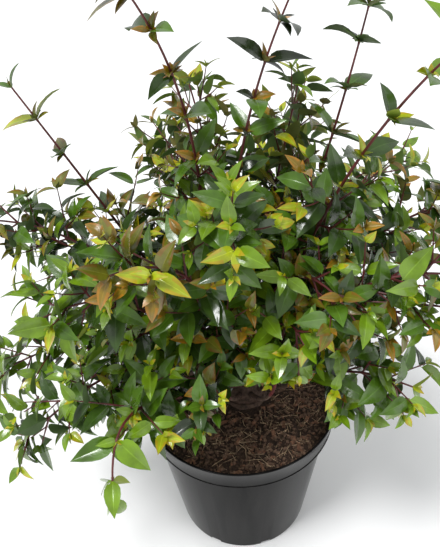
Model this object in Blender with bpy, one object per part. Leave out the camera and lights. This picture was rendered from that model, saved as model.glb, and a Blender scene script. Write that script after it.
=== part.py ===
"""Potted prostrate glossy abelia: a low evergreen shrub of arching shoots in a black nursery pot.

Metres, +Z up. The origin is the middle of the pot's flat underside, +X points right and +Y back.
A short woody foot stands on the soil. Thin boughs fan out from its dome, and each one runs on,
after a hair's gap, as the leading stem of one mass of foliage.
"""
import math
import random

import bmesh
import bpy
from mathutils import Matrix, Vector
from mathutils.bvhtree import BVHTree
from mathutils.kdtree import KDTree

SEED = 7
GAP = 0.0003                 # between two solids that meet
CLEAR = 0.0007               # least distance kept round a leaf or twig

# Pot and soil
POT_HEIGHT = 0.185
RIM_RADIUS = 0.1125
LIP_HEIGHT = 0.0255          # the band under the rim
LIP_FOOT_RADIUS = 0.1095
WALL_TOP_RADIUS = 0.1042
BASE_RADIUS = 0.0815
WALL = 0.0021
RIM_ROUND = 0.0012
BASE_CHAMFER = 0.0018
POT_SEGMENTS = 40
RIM_TOP_SHARE = 0.4          # of the rim's round that its outer corner is cut back
LIP_STEP = 0.001             # height of the small slope under the lip band
FLOOR_EXTRA = 0.0006         # how much thicker the pot's base is than its wall
DRAINS = 8
DRAIN_WIDTH, DRAIN_HEIGHT, DRAIN_DEPTH = 0.013, 0.0048, 0.016
DRAIN_TURN = 0.37            # of the step between two slots: where the first one lies
SOIL_TOP = 0.174
SOIL_FALL = 0.0025           # how much lower the soil lies at the pot's wall
SOIL_FLAT = 0.045            # radius of its level middle
SOIL_SEAT = 0.00036          # between the pot's inner side and the soil

# Woody foot
FOOT_PLACE = (0.006, 0.012)
FOOT_FLARE = 0.0285          # radius on the soil
FOOT_WAIST = 0.0236
DOME_RADIUS = 0.0240
DOME_HEIGHT = 0.0075         # of the dome's centre over the soil
FOOT_SEGMENTS = 24
FLARE_LOBES, FLARE_DEPTH = 7, 0.0016
FLARE_NECK = 0.86            # radius of the flare's upper edge as a share of its foot
DOME_STEPS = 6

# Limbs
FOOT_RADII = {"outer": 0.0031, "middle": 0.0029, "inner": 0.0024, "centre": 0.0025}
FORK_RADIUS = 0.0018         # of a bough where its foliage begins
TIP_RADIUS = 0.0008
BARE_SHARE = 0.30            # of a limb's length that is bough
BOUGH_SIDES, STEM_SIDES = 5, 3
BOUGH_STEP, STEM_STEP = 0.026, 0.030
ROUTE_SAMPLES, TWIG_SAMPLES = 160, 24

# Rings of feet on the dome: tilt from upright, bearing of the first foot
RINGS = {"outer": (62, -35), "middle": (38, -30), "inner": (18, -30), "centre": (0, 0)}

# Each limb: name, tip (right, back, up), bearing and climb of its tip in degrees, and how far
# the foot and the tip each pull the curve their own way
LIMBS = {
    "outer": [
        ("right_low", (0.150, -0.124, 0.314), (-25, -10), 0.09, 0.09),
        ("right_back_low", (0.205, 0.095, 0.335), (25, 0), 0.10, 0.10),
        ("back_right_low", (0.070, 0.225, 0.315), (72, -8), 0.10, 0.11),
        ("back_left_low", (-0.090, 0.222, 0.310), (112, -10), 0.10, 0.11),
        ("left_back_low", (-0.225, 0.120, 0.290), (152, -15), 0.11, 0.11),
        ("left_low", (-0.270, -0.030, 0.262), (188, -25), 0.12, 0.13),
        ("left_front_low", (-0.208, -0.122, 0.268), (207, -30), 0.12, 0.11),
        ("weeping", (-0.120, -0.176, 0.247), (226, -84), 0.13, 0.13),
        ("front_low", (-0.038, -0.118, 0.292), (258, -40), 0.08, 0.07),
        ("front_right_low", (0.050, -0.132, 0.378), (290, -25), 0.13, 0.08),
    ],
    "middle": [
        ("right_thick", (0.168, -0.128, 0.405), (-15, -5), 0.10, 0.12),
        ("right", (0.215, -0.040, 0.455), (-8, 10), 0.13, 0.12),
        ("right_back", (0.190, 0.105, 0.430), (32, 15), 0.13, 0.10),
        ("back_right", (0.085, 0.165, 0.455), (62, 30), 0.13, 0.10),
        ("back_left", (-0.075, 0.165, 0.455), (112, 30), 0.13, 0.10),
        ("left_arch", (-0.181, 0.010, 0.556), (176, 62), 0.12, 0.15),
        ("left", (-0.232, -0.005, 0.440), (182, 5), 0.14, 0.12),
        ("left_front", (-0.170, -0.110, 0.400), (212, -10), 0.13, 0.11),
        ("bronze_left", (-0.098, -0.128, 0.455), (205, -5), 0.15, 0.10),
        ("right_near", (0.172, -0.134, 0.440), (-10, -10), 0.15, 0.11),
    ],
    "inner": [
        ("right_tall", (0.158, -0.115, 0.620), (-28, 45), 0.17, 0.13),
        ("right_sky", (0.117, 0.014, 0.618), (0, 80), 0.15, 0.17),
        ("top_right", (0.070, 0.075, 0.530), (60, 60), 0.13, 0.13),
        ("top_left", (-0.035, 0.075, 0.530), (120, 60), 0.13, 0.13),
        ("left_tall", (-0.072, -0.048, 0.640), (215, 55), 0.15, 0.15),
        ("front", (-0.004, -0.138, 0.478), (275, 0), 0.17, 0.10),
        ("front_right", (0.088, -0.136, 0.405), (300, -30), 0.18, 0.09),
    ],
    "centre": [("centre_sky", (0.052, 0.000, 0.622), (20, 62), 0.15, 0.17)],
}

# Leaves and side twigs
LEAF_LENGTH = 0.060
LEAF_WIDTH_SHARE = 0.47
LEAF_THICK_SHARE = 1 / 46
LEAF_WIDEST = 0.42           # of its length from the root
LEAF_ARCH, LEAF_DROOP, LEAF_FOLD = 0.05, 0.07, 0.13
LEAF_ANGLES = (60, 44, 30)   # from the stem, in degrees: a tight space takes a steeper leaf
END_ANGLES = (36, 26)        # of the last pair on a twig
LEAF_SAG = 0.22
FACE_UP, FACE_OUT = 0.80, 0.62   # how far a leaf's face turns up, and away from the middle
FACE_SWAY, LEAF_SWAY = 0.22, 0.16
SAG_RANGE, PAIR_RANGE = (0.2, 1.4), (0.88, 1.08)
LEAF_SIZES = (1.0, 0.82, 0.68)
TRIES = 3
NODE_FIRST, NODE_STEP, NODE_LAST = 0.012, 0.032, 0.016
TIP_PAIR_BACK, TIP_LEAF = 0.005, 0.72
TWIG_LENGTH = 0.058
TWIG_TAPER = (1.25, 0.65)    # how long a twig is at the fork and at the tip, times its length
TWIG_ANGLES = (52, 36)
TWIG_BEND = (0.33, 0.60)     # shares of a twig's length where it starts and ends its bend
TWIG_LIFT, TWIG_LIFT_LOW, LIFT_HEIGHT = 0.35, -0.05, 0.33   # a twig turns up, or hangs if it is low
TWIG_RADIUS = 0.0011
TWIG_SIDES = 3
TWIG_PAIR_BACK, TWIG_END_LEAF = 0.004, 0.94
TWIG_MIDDLE_PAIR, TWIG_MIDDLE_LEAF = 0.044, 0.90   # a twig longer than this has two pairs
SPACE_MARGIN = 0.0006
SEED_STEP, NEAR_SEEDS = 0.006, 24
POT_CLEAR, RIM_INSIDE, FLOOR_CLEAR = 0.002, 0.008, 0.004
TWIGS_END = 0.82             # share of a leading stem above which it bears leaves only
TALL = ("left_arch", "right_tall", "right_sky", "left_tall", "centre_sky")
TALL_TWIGS_END = 0.45        # the same on the shoots that stand out of the crown
TALL_LEAF = 0.74             # size of the leaves above that

# The crown stays open over the front right of the soil: its lower side slopes up to the front
OPEN_FROM, OPEN_TO = -0.045, 0.105
OPEN_BACK, OPEN_SLOPE = 0.020, 0.71

PLASTIC = (0.012, 0.012, 0.014)
PEAT = (0.055, 0.030, 0.018)
BARK = (0.115, 0.045, 0.035)
GREENS = [(0.045, 0.12, 0.02), (0.075, 0.18, 0.025), (0.13, 0.24, 0.03), (0.16, 0.20, 0.035)]


def remove_everything():
    for thing in list(bpy.data.objects):
        bpy.data.objects.remove(thing, do_unlink=True)


def finish(name, colour, roughness):
    material = bpy.data.materials.new(name)
    material.use_nodes = True
    shader = material.node_tree.nodes["Principled BSDF"]
    shader.inputs["Base Color"].default_value = (*colour, 1.0)
    shader.inputs["Roughness"].default_value = roughness
    return material


def make_object(name, points, faces, material=None, smooth=False):
    mesh = bpy.data.meshes.new(name)
    mesh.from_pydata([tuple(p) for p in points], [], faces)
    if material:
        mesh.materials.append(material)
    if smooth:
        mesh.shade_smooth()
        mesh.set_sharp_from_angle(angle=math.radians(40))
    thing = bpy.data.objects.new(name, mesh)
    bpy.context.scene.collection.objects.link(thing)
    return thing


def direction(bearing, climb):
    """Unit vector from a bearing (0 is +X, 90 is +Y) and a climb over level, in degrees."""
    turn, rise = math.radians(bearing), math.radians(climb)
    return Vector((math.cos(turn) * math.cos(rise), math.sin(turn) * math.cos(rise), math.sin(rise)))


def turned(name, outline, segments, material):
    """Body turned round Z from an outline of (radius, height) that starts and ends on the axis."""
    bm = bmesh.new()
    corners = [bm.verts.new((radius, 0, height)) for radius, height in outline]
    edges = [bm.edges.new(pair) for pair in zip(corners, corners[1:])]
    bmesh.ops.spin(bm, geom=corners + edges, axis=(0, 0, 1), cent=(0, 0, 0),
                   angle=math.tau, steps=segments, use_merge=True)
    bmesh.ops.remove_doubles(bm, verts=bm.verts, dist=1e-6)
    bmesh.ops.recalc_face_normals(bm, faces=bm.faces)
    thing = make_object(name, [], [], material)
    bm.to_mesh(thing.data)
    bm.free()
    thing.data.shade_smooth()
    thing.data.set_sharp_from_angle(angle=math.radians(35))
    return thing


def pot_outlines():
    """Outer and inner side of the pot's wall, each from the bottom up."""
    lip_foot = POT_HEIGHT - LIP_HEIGHT
    outer = [(BASE_RADIUS - BASE_CHAMFER, 0), (BASE_RADIUS, BASE_CHAMFER),
             (WALL_TOP_RADIUS, lip_foot), (LIP_FOOT_RADIUS, lip_foot + LIP_STEP),
             (RIM_RADIUS, POT_HEIGHT - RIM_ROUND), (RIM_RADIUS - RIM_TOP_SHARE * RIM_ROUND, POT_HEIGHT)]
    inner = [(BASE_RADIUS - WALL, WALL + FLOOR_EXTRA), (WALL_TOP_RADIUS - WALL, lip_foot + WALL),
             (LIP_FOOT_RADIUS - WALL, lip_foot + WALL + LIP_STEP),
             (RIM_RADIUS - WALL - RIM_TOP_SHARE * RIM_ROUND / 2, POT_HEIGHT)]
    return outer, inner


def make_pot():
    outer, inner = pot_outlines()
    outline = [(0, 0)] + outer + inner[::-1] + [(0, inner[0][1])]
    pot = turned("pot", outline, POT_SEGMENTS, finish("black plastic", PLASTIC, 0.16))
    cut = pot.modifiers.new("drains", "BOOLEAN")
    cut.operation, cut.object = "DIFFERENCE", drain_cutter()


def drain_cutter():
    """Eight blocks in a ring that open the corner between the pot's wall and its base."""
    bm = bmesh.new()
    for place in range(DRAINS):
        made = bmesh.ops.create_cube(bm, size=1.0)["verts"]
        bmesh.ops.scale(bm, verts=made, vec=(DRAIN_DEPTH, DRAIN_WIDTH, DRAIN_HEIGHT * 2))
        bmesh.ops.translate(bm, verts=made, vec=(BASE_RADIUS, 0, 0))
        turn = math.tau * (place + DRAIN_TURN) / DRAINS
        bmesh.ops.rotate(bm, verts=made, cent=(0, 0, 0), matrix=Matrix.Rotation(turn, 3, "Z"))
    cutter = make_object("drain_cutter", [], [])
    bm.to_mesh(cutter.data)
    bm.free()
    cutter.hide_render = True
    cutter.display_type = "WIRE"
    return cutter


def make_soil():
    inner = pot_outlines()[1]
    side = [(radius - SOIL_SEAT, height + SOIL_SEAT) for radius, height in inner[:3]]
    lean = (RIM_RADIUS - LIP_FOOT_RADIUS) / LIP_HEIGHT
    edge = (side[2][0] + (SOIL_TOP - SOIL_FALL - inner[2][1]) * lean, SOIL_TOP - SOIL_FALL)
    outline = [(0, side[0][1])] + side + [edge, (SOIL_FLAT, SOIL_TOP), (0, SOIL_TOP)]
    turned("soil", outline, POT_SEGMENTS, finish("peat soil", PEAT, 0.95))


def dome_centre():
    return Vector((*FOOT_PLACE, SOIL_TOP + GAP + DOME_HEIGHT))


def make_trunk():
    """Short woody foot: a flared skirt with shallow lobes under a dome that carries the boughs."""
    waist_angle = math.acos(min(1.0, FOOT_WAIST / DOME_RADIUS))
    outline = [(0, 0), (FOOT_FLARE, 0), (FOOT_FLARE * FLARE_NECK, DOME_HEIGHT * 0.3)]
    for k in range(DOME_STEPS):
        climb = -waist_angle + (math.pi / 2 + waist_angle) * k / DOME_STEPS
        outline.append((DOME_RADIUS * math.cos(climb), DOME_HEIGHT + DOME_RADIUS * math.sin(climb)))
    outline.append((0, DOME_HEIGHT + DOME_RADIUS))
    trunk = turned("trunk", outline, FOOT_SEGMENTS, finish("trunk bark", BARK, 0.8))
    for corner in trunk.data.vertices:
        reach = math.hypot(corner.co.x, corner.co.y)
        if corner.co.z < DOME_HEIGHT * 0.5 and reach > 0.01:
            lobe = math.cos(FLARE_LOBES * math.atan2(corner.co.y, corner.co.x))
            corner.co.xy *= 1 + FLARE_DEPTH * lobe / reach
    trunk.location = (*FOOT_PLACE, SOIL_TOP + GAP)


class Route:
    """A smooth curve that can be read by the distance along it."""

    def __init__(self, p0, p1, p2, p3, samples=ROUTE_SAMPLES):
        self.points = []
        for k in range(samples + 1):
            t = k / samples
            self.points.append(p0 * (1 - t) ** 3 + p1 * 3 * t * (1 - t) ** 2
                               + p2 * 3 * t * t * (1 - t) + p3 * t ** 3)
        self.marks = [0.0]
        for a, b in zip(self.points, self.points[1:]):
            self.marks.append(self.marks[-1] + (b - a).length)
        self.length = self.marks[-1]

    def at(self, distance):
        """Point and direction at a distance along the route."""
        k = 1
        while k < len(self.marks) - 1 and self.marks[k] < distance:
            k += 1
        a, b = self.points[k - 1], self.points[k]
        share = (distance - self.marks[k - 1]) / (self.marks[k] - self.marks[k - 1])
        return a.lerp(b, share), (b - a).normalized()


class Shoot:
    """A tapering tube along a stretch of a route, in straight runs between its rings."""

    def __init__(self, route, start, end, step, radius_at, sides):
        count = max(2, round((end - start) / step) + 1)
        self.marks = [start + (end - start) * k / (count - 1) for k in range(count)]
        self.middles = [route.at(mark)[0] for mark in self.marks]
        self.route, self.radius_at, self.sides = route, radius_at, sides

    def at(self, distance):
        """Point in the middle of the tube, and the route's direction there."""
        k = 1
        while k < len(self.marks) - 1 and self.marks[k] < distance:
            k += 1
        share = (distance - self.marks[k - 1]) / (self.marks[k] - self.marks[k - 1])
        return self.middles[k - 1].lerp(self.middles[k], share), self.route.at(distance)[1]

    def shape(self, extra=0.0):
        """Closed body with flat ends square to the route; extra swells its sides."""
        side = Vector((0.31, -0.22, 0.93))
        points = []
        for mark, middle in zip(self.marks, self.middles):
            ahead = self.route.at(mark)[1]
            side = (side - ahead * side.dot(ahead)).normalized()
            across = ahead.cross(side)
            radius = self.radius_at(mark) + extra
            for s in range(self.sides):
                angle = math.tau * s / self.sides
                points.append(middle + (side * math.cos(angle) + across * math.sin(angle)) * radius)
        last = len(points) - self.sides
        faces = [tuple(reversed(range(self.sides)))]
        for ring in range(0, last, self.sides):
            for s in range(self.sides):
                a, b = ring + s, ring + (s + 1) % self.sides
                faces.append((a, b, b + self.sides, a + self.sides))
        faces.append(tuple(range(last, len(points))))
        return points, faces


def leaf(root, along, face, length, extra=0.0):
    """Closed leaf of eight faces, folded along its midrib and arched; extra swells it all round."""
    across = face.cross(along)
    width = length * LEAF_WIDTH_SHARE + 2 * extra
    middle = root + along * (length * LEAF_WIDEST) + face * (length * LEAF_ARCH)
    fold = face * (width * LEAF_FOLD)
    half = face * (length * LEAF_THICK_SHARE / 2 + extra)
    tip = root + along * (length + extra) - face * (length * LEAF_DROOP)
    left, right = middle + across * (width / 2) + fold, middle - across * (width / 2) + fold
    points = [root, right, tip, left, middle + half, middle - half]
    faces = [(0, 1, 4), (1, 2, 4), (2, 3, 4), (3, 0, 4), (1, 0, 5), (2, 1, 5), (3, 2, 5), (0, 3, 5)]
    return points, faces


def leaning(ahead, side, angle):
    """Direction that leans from ahead to one side by an angle in degrees."""
    return ahead * math.cos(math.radians(angle)) + side * math.sin(math.radians(angle))


class Limb:
    """One limb: a bough from the foot's dome, then the leading stem of its mass."""

    def __init__(self, name, ring, bearing, tilt, tip, heading, pulls):
        outward = direction(bearing, 90 - tilt)
        foot = dome_centre() + outward * (DOME_RADIUS + GAP)
        tip = Vector(tip)
        self.name = name
        self.route = Route(foot, foot + outward * pulls[0],
                           tip - direction(*heading) * pulls[1], tip)
        self.length = self.route.length
        self.fork = self.length * BARE_SHARE
        self.foot_radius = FOOT_RADII[ring]
        self.bough = Shoot(self.route, 0.0, self.fork, BOUGH_STEP, self.bough_radius, BOUGH_SIDES)
        self.stem = Shoot(self.route, self.fork + GAP, self.length, STEM_STEP, self.stem_radius,
                          STEM_SIDES)

    def bough_radius(self, distance):
        return self.foot_radius + (FORK_RADIUS - self.foot_radius) * distance / self.fork

    def stem_share(self, distance):
        return (distance - self.fork) / (self.length - self.fork)

    def stem_radius(self, distance):
        return FORK_RADIUS + (TIP_RADIUS - FORK_RADIUS) * self.stem_share(distance)


def all_limbs():
    limbs = []
    for ring, rows in LIMBS.items():
        tilt, first = RINGS[ring]
        for k, (name, tip, heading, foot_pull, tip_pull) in enumerate(rows):
            bearing = first + 360 * k / len(rows)
            limbs.append(Limb(name, ring, bearing, tilt, tip, heading, (foot_pull, tip_pull)))
    return limbs


class Crown:
    """What already stands in the crown, and which space belongs to which mass."""

    def __init__(self, limbs):
        self.things = []
        seeds = []
        for owner, limb in enumerate(limbs):
            distance = limb.fork
            while distance <= limb.length:
                seeds.append((limb.route.at(distance)[0], owner))
                distance += SEED_STEP
        self.seeds = KDTree(len(seeds))
        self.owners = [owner for _, owner in seeds]
        for k, (place, _) in enumerate(seeds):
            self.seeds.insert(place, k)
        self.seeds.balance()

    def belongs(self, point, owner):
        """Whether a point is nearer to this mass's leading stem than to any other."""
        own = None
        for _, index, distance in self.seeds.find_n(point, NEAR_SEEDS):
            if self.owners[index] == owner:
                own = distance if own is None else own
            elif own is None:
                return False
            else:
                return distance - own > SPACE_MARGIN
        return own is not None

    def open_air(self, point):
        """Whether a point is clear of the pot, the soil, the floor and the opening over the soil."""
        low_side = SOIL_TOP + (OPEN_BACK - point.y) * OPEN_SLOPE
        if OPEN_FROM < point.x < OPEN_TO and point.y < OPEN_BACK and point.z < low_side:
            return False
        reach = math.hypot(point.x, point.y)
        if reach < RIM_RADIUS - RIM_INSIDE:
            return point.z > SOIL_TOP + POT_CLEAR
        if reach < RIM_RADIUS + POT_CLEAR:
            return point.z > POT_HEIGHT + POT_CLEAR
        return point.z > FLOOR_CLEAR

    def fits(self, shape, owner, kin):
        """Whether a swollen shape stays in its mass's space and touches nothing but its own kin."""
        points, faces = shape
        probes = points + [(points[a] + points[b]) / 2 for a, b, *_ in faces]
        if not all(self.open_air(p) for p in probes):
            return False
        if not all(self.belongs(p, owner) for p in probes[1:]):
            return False
        low, high = box(points)
        tree = None
        for thing in self.things:
            if thing["kin"] in kin or apart(low, high, thing["low"], thing["high"]):
                continue
            tree = tree or BVHTree.FromPolygons(points, faces)
            if tree.overlap(thing["tree"]):
                return False
        return True

    def add(self, shape, kin):
        low, high = box(shape[0])
        self.things.append({"kin": kin, "low": low, "high": high,
                            "tree": BVHTree.FromPolygons(*shape)})

    def take_back(self):
        self.things.pop()


def box(points):
    low = [min(p[k] for p in points) for k in range(3)]
    high = [max(p[k] for p in points) for k in range(3)]
    return low, high


def apart(low_a, high_a, low_b, high_b):
    return any(low_a[k] > high_b[k] or low_b[k] > high_a[k] for k in range(3))


class Mass:
    """Twigs and leaves that branch from one leading stem."""

    def __init__(self, limb, owner, crown):
        self.limb, self.owner, self.crown = limb, owner, crown
        self.chance = random.Random(SEED * 100 + owner)
        self.stem = limb.stem
        self.shapes = []
        self.tag = 0

    def own(self, part):
        return f"{self.owner}.{part}"

    def sway(self, most):
        return Vector([self.chance.uniform(-most, most) for _ in range(3)])

    def light(self, place):
        """Way that a leaf's face turns: up, and a little outward from the shrub's middle."""
        outward = Vector((place.x - FOOT_PLACE[0], place.y - FOOT_PLACE[1], 0))
        return Vector((0, 0, FACE_UP)) + outward.normalized() * FACE_OUT + self.sway(FACE_SWAY)

    def place_leaf(self, root, ahead, side, angles, length, kin):
        """Put a leaf on a stem if some lie of it is free; a smaller one is tried before none."""
        for size, angle in [(s, a) for s in LEAF_SIZES for a in angles for _ in range(TRIES)]:
            along = leaning(ahead, side, angle)
            sag = Vector((0, 0, -LEAF_SAG * self.chance.uniform(*SAG_RANGE)))
            way = (along + sag + self.sway(LEAF_SWAY)).normalized()
            light = self.light(root)
            face = (light - way * light.dot(way)).normalized()
            if self.crown.fits(leaf(root, way, face, length * size, CLEAR), self.owner, kin):
                shape = leaf(root, way, face, length * size)
                self.shapes.append(shape)
                self.crown.add(shape, kin[-1])
                return 1
        return 0

    def place_pair(self, shoot, distance, side, angles, length, parent, skip=0):
        """Two leaves across from each other at one node; gives how many found room."""
        root, ahead = shoot.at(distance)
        self.tag += 1
        kin = (parent, self.own(self.tag))
        placed = 0
        for sign in (1, -1):
            if sign != skip:
                reach = length * self.chance.uniform(*PAIR_RANGE)
                placed += self.place_leaf(root, ahead, side * sign, angles, reach, kin)
        return placed

    def place_twig(self, distance, side, length, parent):
        """One side twig with leaves, or none where it would bear no leaf."""
        root, ahead = self.stem.at(distance)
        lift = TWIG_LIFT if root.z > LIFT_HEIGHT else TWIG_LIFT_LOW
        for size, angle in [(size, angle) for size in LEAF_SIZES for angle in TWIG_ANGLES]:
            along = leaning(ahead, side, angle)
            reach = length * size
            later = (along + Vector((0, 0, lift))).normalized()
            bend = root + along * reach * TWIG_BEND[1]
            route = Route(root, root + along * reach * TWIG_BEND[0], bend,
                          bend + later * reach * (1 - TWIG_BEND[1]), TWIG_SAMPLES)
            twig = Shoot(route, 0.0, route.length, route.length / 2, lambda mark: TWIG_RADIUS,
                         TWIG_SIDES)
            self.tag += 1
            kin = (parent, self.own(self.tag))
            if self.crown.fits(twig.shape(CLEAR), self.owner, kin):
                self.shapes.append(twig.shape())
                self.crown.add(twig.shape(), kin[-1])
                if self.leaf_twig(twig, side, along, later, kin[-1]):
                    return True
                self.shapes.pop()
                self.crown.take_back()
        return False

    def leaf_twig(self, twig, side, along, later, parent):
        across = later.cross(side).normalized()
        end = twig.marks[-1]
        placed = self.place_pair(twig, end - TWIG_PAIR_BACK, across, END_ANGLES,
                                 LEAF_LENGTH * TWIG_END_LEAF, parent)
        if placed and end > TWIG_MIDDLE_PAIR:
            level = side.cross(along).cross(along).normalized()
            placed += self.place_pair(twig, end / 2, level, LEAF_ANGLES,
                                      LEAF_LENGTH * TWIG_MIDDLE_LEAF, parent)
        return placed

    def nodes(self):
        """Places of the nodes along the leading stem, from the fork to near the tip."""
        places, distance = [], self.limb.fork + NODE_FIRST
        while distance < self.limb.length - NODE_LAST:
            places.append(distance)
            distance += NODE_STEP
        return places

    def grow_node(self, k, distance):
        """Leaf pairs cross from node to node, and a twig takes one leaf's place on each."""
        ahead = self.stem.at(distance)[1]
        level = ahead.cross(Vector((0.13, 0.07, 1.0))).normalized()
        side = level if k % 2 else level.cross(ahead)
        sign = 1 if (k // 2) % 2 else -1
        share = self.limb.stem_share(distance)
        tall = self.limb.name in TALL
        above = share > (TALL_TWIGS_END if tall else TWIGS_END)
        size = TALL_LEAF if tall and above else 1.0
        first, last = TWIG_TAPER
        twig = TWIG_LENGTH * (first + (last - first) * share)
        twigged = not above and self.place_twig(distance, side * sign, twig, self.own("stem"))
        skip = sign if twigged else 0
        self.place_pair(self.stem, distance, side, LEAF_ANGLES, LEAF_LENGTH * size,
                        self.own("stem"), skip)

    def grow_tip(self):
        end = self.limb.length - TIP_PAIR_BACK
        ahead = self.stem.at(end)[1]
        side = ahead.cross(Vector((0.0, 0.2, 1.0))).normalized()
        self.place_pair(self.stem, end, side, END_ANGLES, LEAF_LENGTH * TIP_LEAF, self.own("stem"))

    def join(self, material):
        """Fuse the stem, twigs and leaves into one closed body."""
        name = "foliage_" + self.limb.name
        body = make_object(name, *self.stem.shape(), material)
        pieces = bpy.data.collections.new(name + "_pieces")
        for k, shape in enumerate(self.shapes):
            piece = make_object(f"{name}_piece_{k}", *shape)
            bpy.context.scene.collection.objects.unlink(piece)
            pieces.objects.link(piece)
        bpy.context.scene.collection.children.link(pieces)
        union = body.modifiers.new("union", "BOOLEAN")
        union.operation, union.operand_type, union.collection = "UNION", "COLLECTION", pieces
        bpy.context.view_layer.update()
        joined = bpy.data.meshes.new_from_object(body.evaluated_get(
            bpy.context.evaluated_depsgraph_get()))
        body.modifiers.remove(union)
        body.data = joined
        for piece in list(pieces.objects):
            bpy.data.objects.remove(piece, do_unlink=True)
        bpy.data.collections.remove(pieces)
        keep_rooted_body(joined, self.stem.middles[0])


def keep_rooted_body(mesh, root):
    """Drop loose scrap and sealed hollows: all but the shell that starts at the stem's root."""
    bm = bmesh.new()
    bm.from_mesh(mesh)
    left, shells = set(bm.faces), []
    while left:
        shell, edge = set(), [left.pop()]
        while edge:
            face = edge.pop()
            shell.add(face)
            near = {other for e in face.edges for other in e.link_faces} & left
            left -= near
            edge.extend(near)
        shells.append(shell)
    rooted = min(shells, key=lambda shell: min((v.co - root).length for f in shell for v in f.verts))
    scrap = [face for shell in shells if shell is not rooted for face in shell]
    bmesh.ops.delete(bm, geom=scrap, context="FACES")
    bmesh.ops.triangulate(bm, faces=bm.faces)
    bm.to_mesh(mesh)
    bm.free()


def make_boughs(limbs):
    for limb in limbs:
        bark = finish("bark of " + limb.name, BARK, 0.6)
        make_object("bough_" + limb.name, *limb.bough.shape(), bark, smooth=True)


def fill_crown(limbs):
    """Grow all masses together, node by node, so that neighbours share the space evenly."""
    crown = Crown(limbs)
    masses = [Mass(limb, owner, crown) for owner, limb in enumerate(limbs)]
    for mass in masses:
        crown.add(mass.limb.bough.shape(), "bough")
        crown.add(mass.stem.shape(), mass.own("stem"))
    for mass in masses:
        mass.grow_tip()
    for k in range(max(len(mass.nodes()) for mass in masses)):
        for mass in masses:
            places = mass.nodes()
            if k < len(places):
                mass.grow_node(k, places[-1 - k])
    for mass in masses:
        green = GREENS[mass.owner % len(GREENS)]
        mass.join(finish("leaves of " + mass.limb.name, green, 0.35))


remove_everything()
make_pot()
make_soil()
make_trunk()
plant = all_limbs()
make_boughs(plant)
fill_crown(plant)
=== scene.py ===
"""Looks of a potted prostrate glossy abelia: glossy opposite leaves on arching purple-red shoots,
young tufts from lime to bronze, peat with bark bits, and a glossy black nursery pot.

Metres, +Z up, the origin in the middle of the pot's underside. The limbs follow the same named
routes as the solids, and the crown grows on from them by the same rule, carried to finer twigs.
"""
import math
import random
from collections import defaultdict
from functools import cache
from itertools import product

import bmesh
import bpy
from mathutils import Matrix, Vector, noise
from mathutils.bvhtree import BVHTree


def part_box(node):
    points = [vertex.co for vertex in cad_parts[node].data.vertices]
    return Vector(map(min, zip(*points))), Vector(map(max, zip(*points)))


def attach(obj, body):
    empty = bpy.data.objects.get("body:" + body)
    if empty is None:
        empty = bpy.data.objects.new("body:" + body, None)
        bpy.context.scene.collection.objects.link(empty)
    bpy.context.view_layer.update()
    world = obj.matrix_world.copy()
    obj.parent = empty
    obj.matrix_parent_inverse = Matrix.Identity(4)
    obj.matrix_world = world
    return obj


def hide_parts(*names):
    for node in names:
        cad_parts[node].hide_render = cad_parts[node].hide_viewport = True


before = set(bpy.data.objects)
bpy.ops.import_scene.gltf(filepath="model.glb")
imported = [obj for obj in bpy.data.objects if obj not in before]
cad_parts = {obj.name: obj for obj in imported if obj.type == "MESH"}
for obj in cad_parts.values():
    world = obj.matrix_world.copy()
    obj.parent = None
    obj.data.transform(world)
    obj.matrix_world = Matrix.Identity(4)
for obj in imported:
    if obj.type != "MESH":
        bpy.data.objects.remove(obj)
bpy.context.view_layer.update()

SEED = 11
GAP = 0.0003                 # between two parts that meet
LEAF_SHARP, PEAT_SHARP, STREWN_SHARP, POT_SHARP, SHARP = 48, 80, 30, 35, 50      # degrees at an edge

# Camera: the photograph looks down on the plant from close by, a little tilted
PHOTO_WIDTH = 440
FOCAL_PIXELS = 598.0
CAMERA_PLACE = (-0.0155, -0.4938, 0.7106)
CAMERA_DOWN, CAMERA_ROLL = 35.3, -3.15
SENSOR_WIDTH, CLIP_START = 36.0, 0.02

# Floor and light: each sun's place, its width in degrees and its strength
FLOOR_HALF, FLOOR_WHITE = 6.0, (0.95, 0.95, 0.95)
STUDIO_WHITE, STUDIO_STRENGTH = (0.97, 0.985, 1.0, 1.0), 0.62
SUNS = {"key": ((-0.40, -0.30, 1.0), 18, 2.3), "fill": ((0.9, -0.5, 0.9), 40, 0.45)}

# Pot, as in the solids but for its finer rounds
POT_HEIGHT = 0.185
RIM_RADIUS = 0.1125
LIP_HEIGHT = 0.0255
LIP_FOOT = POT_HEIGHT - LIP_HEIGHT
LIP_FOOT_RADIUS = 0.1095
WALL_TOP_RADIUS = 0.1042
BASE_RADIUS = 0.0815
WALL = 0.0021
FLOOR_TOP = 0.0027
LIP_STEP = 0.001
BASE_ROUND, RIDGE, BEAD = 0.0018, 0.0007, 0.0012
POT_SEGMENTS = 160
DRAINS = 8
DRAIN_WIDTH, DRAIN_HEIGHT, DRAIN_DEPTH = 0.013, 0.0048, 0.016
DRAIN_TURN = 0.37            # where the first slot lies, as a share of the step between two
# Pot black; its noise runs in upright bands: painted reflection in the colour, ripples in the relief
PLASTIC, UPRIGHT_REFLECTION_AND_RIPPLE_BANDS = (0.0062, 0.0058, 0.0056), (1, 1, 0.05)

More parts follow.
